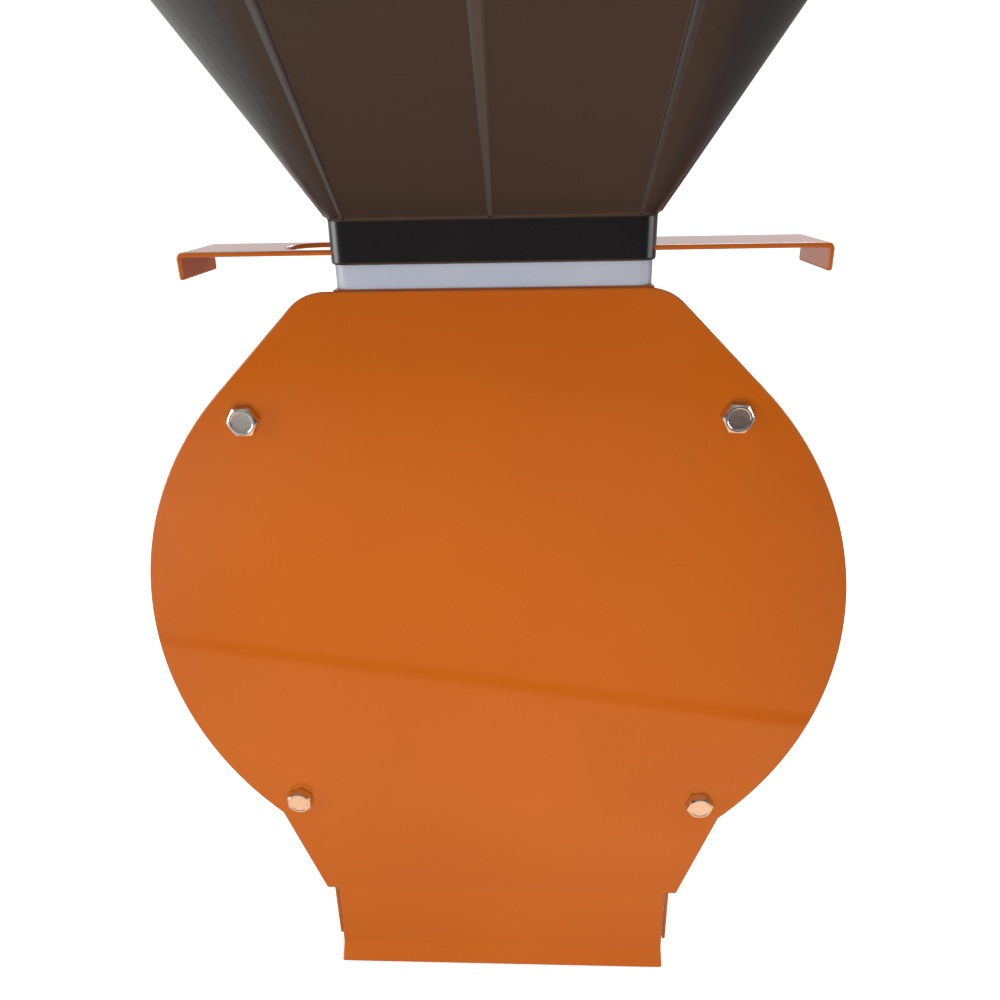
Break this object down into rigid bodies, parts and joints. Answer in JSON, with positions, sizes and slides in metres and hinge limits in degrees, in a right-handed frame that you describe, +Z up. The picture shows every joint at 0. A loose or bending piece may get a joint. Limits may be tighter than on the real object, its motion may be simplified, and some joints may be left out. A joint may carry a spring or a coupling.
{
  "type": "grain mill",
  "caption": "Electric hammer mill for grain: black funnel hopper with a slide gate above a shallow round grinding drum, a chute below it and a flange motor on a foot behind.",
  "frame": {"origin": "on the resting plane, at the middle of the foot's four bolt holes", "axes": "+Z up, +X to the right seen from the cover's side, -Y towards the cover; the rotor's axis runs along Y at X 0, Z 0.24"},
  "size_m": [0.36, 0.3867, 0.7],
  "materials": {
    "orange_paint": "gloss powder coat with orange peel",
    "zinc_steel": "bright zinc plate",
    "tool_steel": "hardened, oil black",
    "machined_steel": "turned steel",
    "screen_steel": "perforated sheet",
    "black_plastic": "semi-gloss moulded black",
    "white_plastic": "satin white, slightly translucent",
    "motor_alloy": "cast, fine grain",
    "laminations": "stacked laminations",
    "copper": "varnished copper wire",
    "grey_paint": "satin grey",
    "dark_plastic": "fine grained black",
    "rubber_seal": "matt",
    "green_plastic": "glossy green",
    "red_plastic": "glossy red",
    "can_plastic": "satin off-white"
  },
  "bodies": {
    "frame": {"front_cover": "orange_paint", "rear_plate": "orange_paint", "drum_shell": "orange_paint", "chute_wall_left": "orange_paint", "chute_wall_right": "orange_paint", "cover_posts": "orange_paint", "inlet_duct": "orange_paint", "foot": "orange_paint", "cover_bolts": "zinc_steel", "foot_bolts": "zinc_steel", "lid_screws": "zinc_steel", "hopper_screws": "zinc_steel", "hopper_nuts": "zinc_steel", "motor_bolts": "zinc_steel", "capacitor_strap": "zinc_steel", "screen_stops": "tool_steel", "bearing_outer_front": "machined_steel", "bearing_outer_rear": "machined_steel", "screen": "screen_steel", "hopper": "black_plastic", "spacer_frame": "white_plastic", "stator_frame": "motor_alloy", "motor_flange_shield": "motor_alloy", "rear_shield": "motor_alloy", "stator_core": "laminations", "windings": "copper", "fan_cowl": "grey_paint", "switch_box": "dark_plastic", "box_lid": "dark_plastic", "button_bezel": "dark_plastic", "cable_gland": "dark_plastic", "switch_block": "dark_plastic", "box_gasket": "rubber_seal", "capacitor": "can_plastic"},
    "gate": {"slide_gate": "orange_paint"},
    "rotor": {"shaft": "machined_steel", "hub": "machined_steel", "shaft_key": "machined_steel", "rotor_disc_front": "machined_steel", "rotor_disc_rear": "machined_steel", "hammer_pins": "tool_steel", "pin_sleeves": "tool_steel", "shaft_washer": "zinc_steel", "shaft_bolt": "zinc_steel", "rotor_core": "laminations", "bearing_inner_front": "machined_steel", "bearing_inner_rear": "machined_steel", "cooling_fan": "dark_plastic"},
    "start_button": {"start_button": "green_plastic"},
    "stop_button": {"stop_button": "red_plastic"},
    "hammer_1": {"hammer_1": "tool_steel"},
    "hammer_2": {"hammer_2": "tool_steel"},
    "hammer_3": {"hammer_3": "tool_steel"},
    "hammer_4": {"hammer_4": "tool_steel"}
  },
  "joints": [
    {"name": "gate_slide", "type": "slide", "parent": "frame", "child": "gate", "axis": [1, 0, 0], "range_m": [-0.073, 0.066]},
    {"name": "rotor_spin", "type": "hinge", "parent": "frame", "child": "rotor", "pos_m": [0, 0, 0.24], "axis": [0, 1, 0], "continuous": true},
    {"name": "hammer_1_swing", "type": "hinge", "parent": "rotor", "child": "hammer_1", "pos_m": [0, -0.105, 0.328], "axis": [0, 1, 0], "continuous": true},
    {"name": "hammer_2_swing", "type": "hinge", "parent": "rotor", "child": "hammer_2", "pos_m": [0.088, -0.105, 0.24], "axis": [0, 1, 0], "continuous": true},
    {"name": "hammer_3_swing", "type": "hinge", "parent": "rotor", "child": "hammer_3", "pos_m": [0, -0.105, 0.152], "axis": [0, 1, 0], "continuous": true},
    {"name": "hammer_4_swing", "type": "hinge", "parent": "rotor", "child": "hammer_4", "pos_m": [-0.088, -0.105, 0.24], "axis": [0, 1, 0], "continuous": true},
    {"name": "start_button_press", "type": "slide", "parent": "frame", "child": "start_button", "axis": [0, 0, -1], "range_m": [0, 0.003], "stiffness_N_per_m": 800},
    {"name": "stop_button_press", "type": "slide", "parent": "frame", "child": "stop_button", "axis": [0, 0, -1], "range_m": [0, 0.003], "stiffness_N_per_m": 800}
  ]
}
